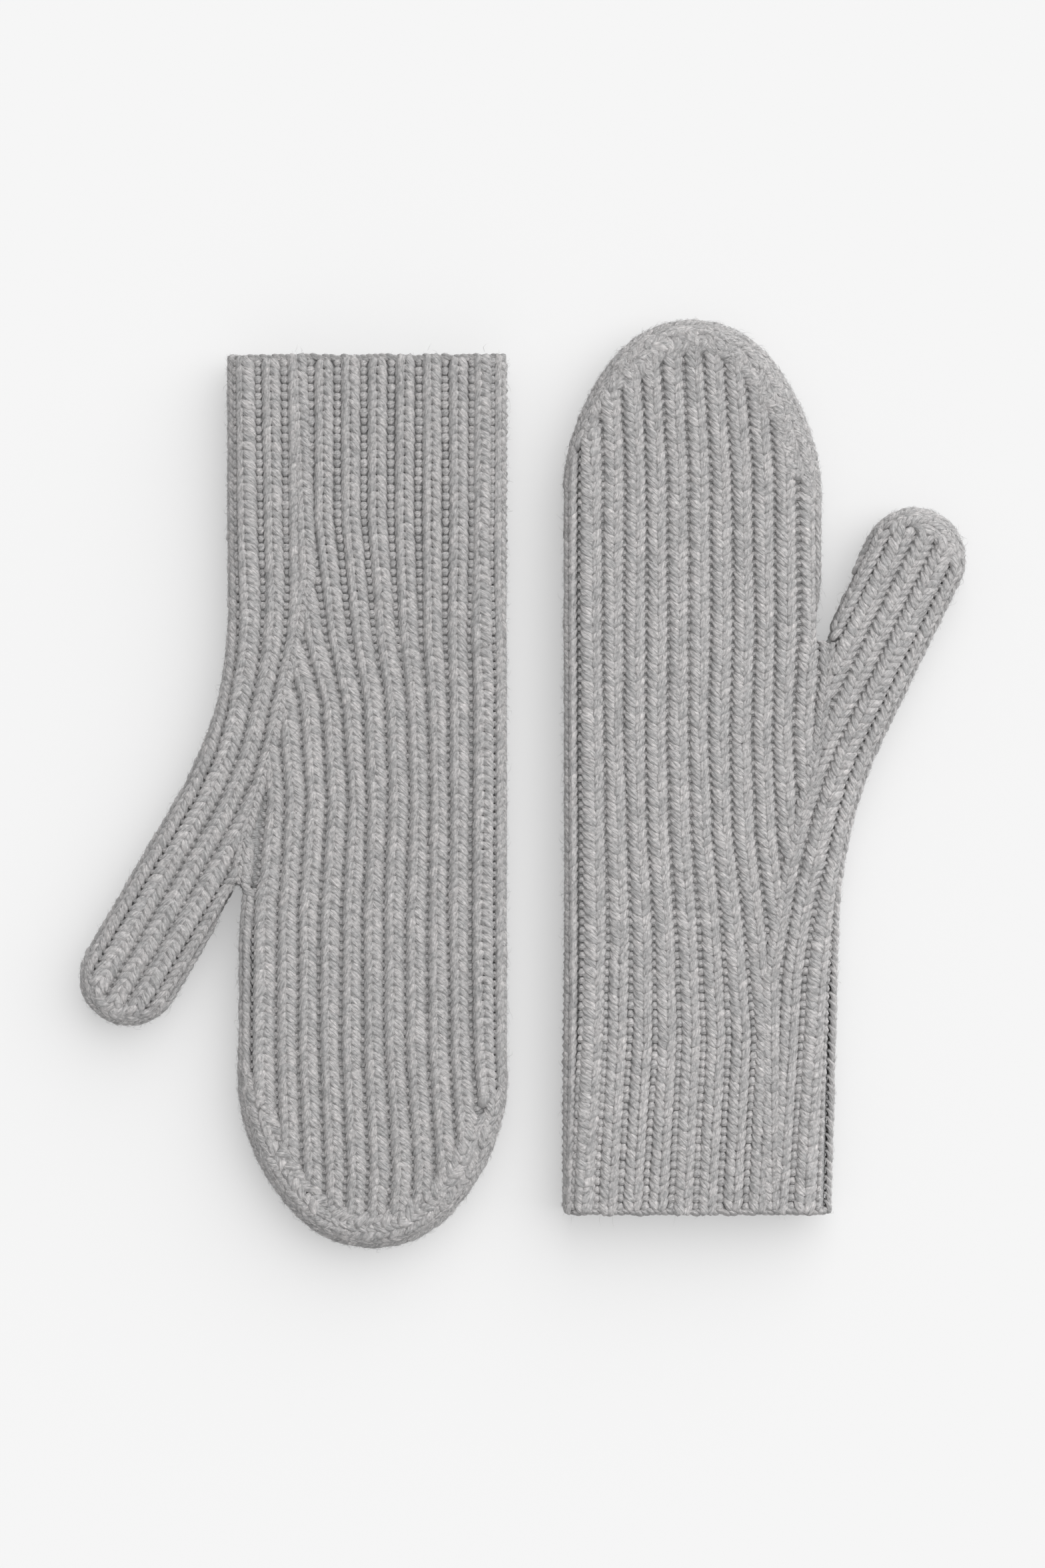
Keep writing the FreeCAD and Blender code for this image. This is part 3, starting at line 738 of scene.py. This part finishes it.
def knit_face(mitten, face):
    """All the stitches of one face, sorted into the three regions: legs and bumps."""
    legs, bumps = [[], [], []], [[], [], []]

    def sort(flat, points, into):
        region = region_of(mitten, points)
        for index in range(len(REGIONS)):
            into[index].append(flat[region == index])

    def add_ribs(ribs, belongs):
        for rib in ribs:
            flat, points, body = stitch_legs(mitten, rib)
            keep = keep_clear(mitten, points, belongs, 1.6) & ~torn(mitten, flat) & (body > 1.6)
            sort(flat[keep], points[keep], legs)

    def add_furrows(lines, belongs):
        for line in lines:
            flat, points = furrow_bumps(mitten, line)
            keep = keep_clear(mitten, points, belongs, 1.5) & ~torn(mitten, flat)
            sort(flat[keep], points[keep], bumps)

    ribs, lines = hand_columns(mitten)
    add_ribs(ribs, "hand")
    add_furrows(lines, "hand")
    ribs, lines, wrap = thumb_columns(mitten)
    add_ribs(ribs, "thumb")
    add_furrows(lines, "thumb")
    if face > 0:
        for rib in wrap:
            flat, points, body = stitch_legs(mitten, rib)
            thumbward = mitten.thumbward(points[:, 0], points[:, 1])
            keep = (~torn(mitten, flat) & (body > 1.0) & (thumbward < mitten.thumb_end + 2)
                    & ((thumbward > 1) | (points[:, 0] > mitten.parting(points[:, 1]) + 12)))
            sort(flat[keep], points[keep], legs)
    flat, points, _ = stitch_legs(mitten, parting_column(mitten))
    sort(flat, points, legs)
    s = mitten.sizes

    def on_crown(at):
        return (at[:, 1] > mitten.level - 6) & (at[:, 0] < s["hand_width"] + 1)

    def on_thumb_tip(at):
        return mitten.thumbward(at[:, 0], at[:, 1]) > mitten.thumb_end - 3

    def crown_reach(at):
        return mitten.crown_band(at[:, 1])

    def thumb_reach(at):
        return mitten.thumb_band(mitten.thumbward(at[:, 0], at[:, 1]))

    for widest, part, reach in ((s["band"][-1][1], on_crown, crown_reach),
                                (s["thumb_band"], on_thumb_tip, thumb_reach)):
        for offset, column in band_columns(mitten, widest, part, *s["band_finish"]):
            flat, points, _ = stitch_legs(mitten, column, s["looseness"])
            keep = offset - 1.2 < reach(points)
            sort(flat[keep], points[keep], legs)
    return [np.concatenate(group) for group in legs], [np.concatenate(group) for group in bumps]


def fuzz_roots(mitten, legs, share):
    """Random points on the outer sides of some legs."""
    random = mitten.random
    count = int(len(legs) * share)
    which = random.integers(0, len(legs), count)
    ring = random.integers(1, LEG_RINGS - 1, count)
    side = random.integers(2, LEG_SIDES - 1, count)
    return legs[which, ring, side]


def plate_points(mitten, rim):
    """A flat plate's points and triangles, inside a line of rim points."""
    low, high = rim.min(axis=0), rim.max(axis=0)
    grid = 3.5
    across, up = np.meshgrid(np.arange(low[0], high[0], grid), np.arange(low[1] + grid, high[1], grid))
    inner = np.stack([across.ravel(), up.ravel()], axis=1)
    inner = inner[mitten.depth(inner[:, 0], inner[:, 1]) > RIM + 1.2]
    points = np.concatenate([rim, inner])
    border = [list(range(len(rim)))]
    found = geometry.delaunay_2d_cdt([Vector(point) for point in points], [], border, 1, 0.001)
    return np.array(found[0]), np.array([face for face in found[2] if len(face) == 3])


def slab(name, mitten, depth, region, reach=None):
    """A plain layer below the fabric's face: a half-round rim strip, with flat plates across it."""
    edge, way = mitten.outline, mitten.inward
    keep = edge[:, 1] >= -0.6
    if reach is not None:
        keep &= edge[:, 1] <= reach
    edge, way = edge[keep], way[keep]
    radius = RIM - depth
    angles = np.linspace(-QUARTER_TURN, QUARTER_TURN, 11)
    strip = np.empty((len(edge), len(angles), 3))
    strip[..., :2] = edge[:, None] + way[:, None] * (RIM - radius * np.cos(angles))[None, :, None]
    strip[..., 2] = MIDDLE + radius * np.sin(angles)
    rows = np.arange(len(edge) - 1)
    whole = np.linalg.norm(np.diff(edge, axis=0), axis=1) < 3
    rows = rows[whole][:, None] * len(angles)
    steps = np.arange(len(angles) - 1)[None, :]
    quads = np.stack([rows + steps, rows + steps + len(angles), rows + steps + len(angles) + 1,
                      rows + steps + 1], axis=-1).reshape(-1, 4)
    plate, triangles = plate_points(mitten, edge + way * RIM)
    total = len(edge) * len(angles)
    upper = np.column_stack([plate, np.full(len(plate), MIDDLE + radius)])
    lower = np.column_stack([plate, np.full(len(plate), MIDDLE - radius)])
    vertices = np.concatenate([strip.reshape(-1, 3), upper, lower])
    faces = [quads, triangles + total, triangles[:, ::-1] + total + len(plate)]
    if region is not None:
        faces = [group[region_of(mitten, vertices[group].mean(axis=1)[:, :2]) == region] for group in faces]
    used = np.unique(np.concatenate([group.ravel() for group in faces]))
    renumber = np.zeros(len(vertices), dtype=int)
    renumber[used] = np.arange(len(used))
    faces = [renumber[group] for group in faces]
    piece = make_mesh(name, mitten.place(vertices[used]), faces, None, vertices[used])
    face_outwards(piece, merge=0.02 * MM)
    return piece


def mouth_loop(mitten, depth):
    """The mouth's edge line round the flattened tube, as points in the mitten, in millimetres."""
    s = mitten.sizes
    radius = RIM - depth
    width = s["mouth_width"]
    angle = np.linspace(-QUARTER_TURN, QUARTER_TURN, 16)
    right = np.stack([width - RIM + radius * np.cos(angle), MIDDLE + radius * np.sin(angle)], axis=1)
    left = np.stack([RIM - radius * np.cos(angle), MIDDLE - radius * np.sin(angle)], axis=1)
    return np.concatenate([right, left, right[:1]])


def cast_on(mitten):
    """The row of small loops that finishes the cuff's mouth."""
    random = mitten.random
    loop = mouth_loop(mitten, 1.55)
    steps = running(loop)
    count = int(steps[-1] / LOOP_PITCH)
    base = (np.arange(count) + 0.5) * steps[-1] / count
    rings, sides = len(LOOP_GIRTH), LOOP_SIDES
    part = np.linspace(-1, 1, rings)
    run = base[:, None] + 1.75 * part[None]
    run = np.mod(run, steps[-1])
    x = np.interp(run, steps, loop[:, 0])
    z = np.interp(run, steps, loop[:, 1])
    after = np.mod(run + 0.3, steps[-1])
    after_x = np.interp(after, steps, loop[:, 0])
    after_z = np.interp(after, steps, loop[:, 1])
    ahead = np.stack([after_x - x, after_z - z], axis=-1)
    ahead /= np.linalg.norm(ahead, axis=-1)[..., None]
    out = np.stack([ahead[..., 1], -ahead[..., 0]], axis=-1)
    size = random.normal(1, 0.06, (count, 1))
    girth = np.array(LOOP_GIRTH)
    slant = 0.45 * part
    turn = 2 * HALF_TURN * np.arange(sides) / sides
    radial = (1.62 * girth * size)[..., None] * np.cos(turn)
    lengthwise = (1.25 * girth * size)[..., None] * np.sin(turn)
    points = np.empty((count, rings, sides, 3))
    points[..., 0] = x[..., None] + out[..., None, 0] * radial
    points[..., 2] = z[..., None] + out[..., None, 1] * radial
    dip = random.normal(0, 0.22, (count, 1, 1))
    points[..., 1] = 0.9 + slant[None, :, None] + lengthwise + dip
    return points


def world_tubes(name, mitten, points):
    """A mesh of tubes whose points are already in the mitten's three dimensions."""
    count, rings, sides = points.shape[:3]
    tiles = math.ceil(math.sqrt(count))
    faces, place = tube_faces(count, rings, sides, 0, False)
    uvs = tube_uvs(np.arange(count), tiles, place, sides)
    strand = tube_strand(mitten, count, rings, sides)
    piece = make_mesh(name, mitten.place(points).reshape(-1, 3), faces, uvs, strand)
    face_outwards(piece)
    return piece


class Graph:
    """A material's node tree, with short ways to add to it."""

    def __init__(self, name):
        self.material = bpy.data.materials.new(name)
        self.material.use_nodes = True
        self.tree = self.material.node_tree
        self.shader = self.tree.nodes["Principled BSDF"]

    def add(self, kind):
        return self.tree.nodes.new(kind)

    def link(self, source, target):
        self.tree.links.new(source, target)

    def feed(self, node, values):
        """Give a node's first inputs each a number or a link."""
        for socket, value in zip(node.inputs, values):
            if isinstance(value, (int, float)):
                socket.default_value = value
            else:
                self.link(value, socket)

    def math(self, operation, *values):
        node = self.add("ShaderNodeMath")
        node.operation = operation
        self.feed(node, values)
        return node.outputs[0]

    def times(self, value, factor):
        return self.math("MULTIPLY", value, factor)

    def vector(self, *values):
        node = self.add("ShaderNodeCombineXYZ")
        self.feed(node, values)
        return node.outputs[0]

    def parts(self, vector):
        """A vector's three values."""
        split = self.add("ShaderNodeSeparateXYZ")
        self.link(vector, split.inputs[0])
        return tuple(split.outputs)

    def strand(self):
        """The three values that every piece of fabric carries."""
        source = self.add("ShaderNodeAttribute")
        source.attribute_name = "strand"
        return self.parts(source.outputs["Vector"])

    def bump(self, relief, strength, distance):
        node = self.add("ShaderNodeBump")
        node.inputs["Strength"].default_value = strength
        node.inputs["Distance"].default_value = distance
        self.link(relief, node.inputs["Height"])
        self.link(node.outputs["Normal"], self.shader.inputs["Normal"])

    def noise(self, where, scale, detail, roughness):
        node = self.add("ShaderNodeTexNoise")
        node.inputs["Scale"].default_value = scale
        node.inputs["Detail"].default_value = detail
        node.inputs["Roughness"].default_value = roughness
        self.link(where, node.inputs["Vector"])
        return node.outputs["Fac"]

    def ramp(self, factor, *stops):
        node = self.add("ShaderNodeValToRGB")
        band = node.color_ramp
        while len(band.elements) < len(stops):
            band.elements.new(0.5)
        for element, (position, colour) in zip(band.elements, stops):
            element.position = position
            element.color = (*colour, 1)
        self.link(factor, node.inputs["Fac"])
        return node.outputs["Color"]

    def multiply(self, one, two):
        """One colour multiplied by another."""
        node = self.add("ShaderNodeMix")
        node.data_type = "RGBA"
        node.blend_type = "MULTIPLY"
        node.inputs["Factor"].default_value = 1.0
        self.link(one, node.inputs[6])
        self.link(two, node.inputs[7])
        return node.outputs[2]


def grey(value, warmth=0.0):
    """A grey, a little warmer or cooler than neutral."""
    return (value * (1.003 + warmth), value, value * (1 - warmth / 3))


def yarn_material(name, shade):
    """Soft grey marl yarn: pale and dark fibres lying along a loose twist, with a bloom of fine hair."""
    g = Graph(name)
    along, around, lot = g.strand()
    twisted = g.math("ADD", around, g.times(along, TWIST))
    fibres = g.noise(g.vector(g.times(along, 0.55), g.times(twisted, 26.0), g.times(lot, 91.0)),
                     1.0, 3.0, 0.62)
    tufts = g.noise(g.vector(g.times(along, 1.3), g.times(twisted, 9.0), g.times(lot, 53.0)), 1.0, 2.0, 0.5)
    tone = g.ramp(fibres, (0.28, grey(shade * 0.60, 0.0)), (0.47, grey(shade * 0.93, 0.012)),
                  (0.60, grey(shade * 1.10, 0.010)), (0.76, grey(min(1, shade * 1.5), 0.02)))
    tuft_tone = g.ramp(tufts, (0.32, grey(0.80, -0.008)), (0.52, grey(1.0)), (0.70, grey(1.16, 0.012)))
    lot_tone = g.ramp(lot, (0.0, grey(0.90, -0.006)), (0.5, grey(1.0)), (1.0, grey(1.10, 0.008)))
    colour = g.multiply(g.multiply(tone, tuft_tone), lot_tone)
    g.link(colour, g.shader.inputs["Base Color"])
    plies = g.math("SINE", g.times(twisted, 2 * HALF_TURN * PLIES))
    g.bump(g.math("ADD", g.times(plies, 0.22), fibres), 0.75, 0.6 * MM)
    g.shader.inputs["Roughness"].default_value = 0.92
    g.shader.inputs["Specular IOR Level"].default_value = 0.18
    g.shader.inputs["Sheen Weight"].default_value = 0.22
    g.shader.inputs["Sheen Roughness"].default_value = 0.45
    return g.material


def ground_material(name, shade):
    """The same wool seen deep in the furrows, with the courses lying across it. It is given a shade a little
    darker than the yarn's, as painted shade for the furrows.
    """
    g = Graph(name)
    across, along, height = g.strand()
    fibres = g.noise(g.vector(g.times(across, 1.1), g.times(along, 3.6), height), 1.0, 3.0, 0.6)
    pale = grey(min(1, shade * 1.35), 0.01)
    tone = g.ramp(fibres, (0.30, grey(shade * 0.62)), (0.52, grey(shade)), (0.72, pale))
    g.link(tone, g.shader.inputs["Base Color"])
    rows = g.math("SINE", g.times(along, 2 * HALF_TURN / COURSE))
    g.bump(g.math("ADD", g.times(rows, 0.5), fibres), 0.8, 0.8 * MM)
    g.shader.inputs["Roughness"].default_value = 0.95
    g.shader.inputs["Specular IOR Level"].default_value = 0.12
    g.shader.inputs["Sheen Weight"].default_value = 0.15
    return g.material


def tape_material(name, shade, weave):
    """Smooth woven tape, with fine threads both ways."""
    g = Graph(name)
    where = g.add("ShaderNodeTexCoord").outputs["Object"]
    x, y, _ = g.parts(where)
    warp = g.math("SINE", g.times(x, weave))
    weft = g.math("SINE", g.times(y, weave))
    tone = g.ramp(g.noise(where, 900.0, 2.0, 0.5), (0.3, grey(shade * 0.86)), (0.7, grey(shade)))
    g.link(tone, g.shader.inputs["Base Color"])
    g.bump(g.times(warp, weft), 0.4, 0.2 * MM)
    g.shader.inputs["Roughness"].default_value = 0.55
    return g.material


def wear(piece, material):
    piece.data.materials.clear()
    piece.data.materials.append(material)


def folds(mitten):
    """Each region's two bodies, and where its fabric bends between them."""
    s = mitten.sizes
    side = mitten.side
    fold = np.array(s["thumb_fold"])
    across = s["hand_width"] / 2

    def spot(point):
        return tuple(mitten.place(np.array([*point, MIDDLE])))

    bodies = {name: f"{side}_{name}" for name in ("cuff", "hand", "fingers", "thumb")}
    return {
        "lower": (bodies["cuff"], bodies["hand"], spot((across, s["wrist_fold"] - FOLD_REACH)),
                  spot((across, s["wrist_fold"] + FOLD_REACH))),
        "upper": (bodies["hand"], bodies["fingers"], spot((across, s["knuckle_fold"] - FOLD_REACH)),
                  spot((across, s["knuckle_fold"] + FOLD_REACH))),
        "thumb": (bodies["hand"], bodies["thumb"], spot(fold - THUMB_FOLD_REACH * mitten.thumb_way),
                  spot(fold + THUMB_FOLD_REACH * mitten.thumb_way)),
    }


def knit(mitten, yarn, ground):
    """All of one mitten's visible pieces; the lining and the cast-on edge are put on the cuff's body."""
    side = mitten.side
    bends = folds(mitten)
    other = {"back": "palm", "palm": "back"}
    names = {1: mitten.sizes["upper_face"], -1: other[mitten.sizes["upper_face"]]}
    replaced = {
        ("lower", "back"): ("cuff_back", "hand_back", "gusset_back"),
        ("lower", "palm"): ("cuff_palm", "hand_palm", "gusset_palm"),
        ("upper", "back"): ("fingers_back", "crown_cap"),
        ("upper", "palm"): ("fingers_palm",),
        ("thumb", "back"): ("thumb_back",),
        ("thumb", "palm"): ("thumb_palm",),
    }

    def settle(piece, material):
        wear(piece, material)
        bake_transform(piece)

    for face in (1, -1):
        legs, bumps = knit_face(mitten, face)
        for index, region in enumerate(REGIONS):
            name = f"{side}_{region}_{names[face]}"
            piece = stitches_piece(name, mitten, [legs[index], bumps[index]], face)
            settle(piece, yarn)
            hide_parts(*[f"{side}_{node}" for node in replaced[(region, names[face])]])
            roots = fuzz_roots(mitten, legs[index], FIBRES_PER_LEG)
            fuzz = fuzz_piece(f"{name}_fuzz", mitten, roots, face)
            settle(fuzz, yarn)
    seams = {"lower": ("cuff_seam", "hand_seam"), "upper": ("fingers_seam",), "thumb": ()}
    for index, region in enumerate(REGIONS):
        piece = slab(f"{side}_{region}_ground", mitten, GROUND_DEPTH, index)
        settle(piece, ground)
        if seams[region]:
            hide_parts(*[f"{side}_{node}" for node in seams[region]])
    lining = slab(f"{side}_lining", mitten, WALL, None, reach=LINING_END)
    wear(lining, ground)
    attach(lining, f"{side}_cuff")
    edge = world_tubes(f"{side}_cast_on", mitten, cast_on(mitten))
    wear(edge, yarn)
    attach(edge, f"{side}_cuff")
    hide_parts(f"{side}_cuff_edge")


def light_and_floor(lowest):
    scene = bpy.context.scene
    scene.view_settings.view_transform = "Standard"
    bpy.ops.mesh.primitive_plane_add(size=8, location=(0, 0, lowest))
    floor = bpy.context.object
    floor.name = "floor"
    surface = Graph("floor_paper")
    surface.shader.inputs["Base Color"].default_value = (FLOOR_SHADE, FLOOR_SHADE, FLOOR_SHADE, 1)
    surface.shader.inputs["Emission Color"].default_value = (1, 1, 1, 1)
    surface.shader.inputs["Emission Strength"].default_value = FLOOR_GLOW
    surface.shader.inputs["Roughness"].default_value = 0.95
    surface.shader.inputs["Specular IOR Level"].default_value = 0.0
    wear(floor, surface.material)
    world = bpy.data.worlds.new("studio")
    scene.world = world
    world.use_nodes = True
    background = world.node_tree.nodes["Background"]
    background.inputs["Color"].default_value = (1, 1, 1, 1)
    background.inputs["Strength"].default_value = ROOM_LIGHT
    lamp = bpy.data.lights.new("softbox", "SUN")
    lamp.energy = SUN_POWER
    lamp.angle = SUN_WIDTH
    key = bpy.data.objects.new("softbox", lamp)
    key.rotation_euler = SUN_TILT
    scene.collection.objects.link(key)


def set_camera():
    view = bpy.data.cameras.new("camera")
    view.lens = CAMERA_LENS
    camera = bpy.data.objects.new("camera", view)
    camera.location = (0, 0, CAMERA_HEIGHT)
    bpy.context.scene.collection.objects.link(camera)
    bpy.context.scene.camera = camera


set_camera()
for number, (side, sizes) in enumerate(MITTENS.items()):
    mitten = Mitten(side, sizes, SEED + number)
    yarn = yarn_material(f"{side}_wool", SHADES[side])
    # The furrow ground and the lining wear the yarn's shade times 0.95. This is painted shade that darkens
    # the wool deep in the furrows and inside the cuff.
    ground = ground_material(f"{side}_wool_ground_painted_shade", SHADES[side] * 0.95)
    knit(mitten, yarn, ground)
tape = tape_material("label_tape", 0.72, 9000.0)
thread = tape_material("label_thread", 0.55, 12000.0)
for node, material in (("left_care_label", tape), ("left_label_stitches", thread)):
    wear(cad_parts[node], material)
bpy.context.view_layer.update()
visual_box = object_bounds()
light_and_floor(visual_box[0][2] - FLOOR_DROP)
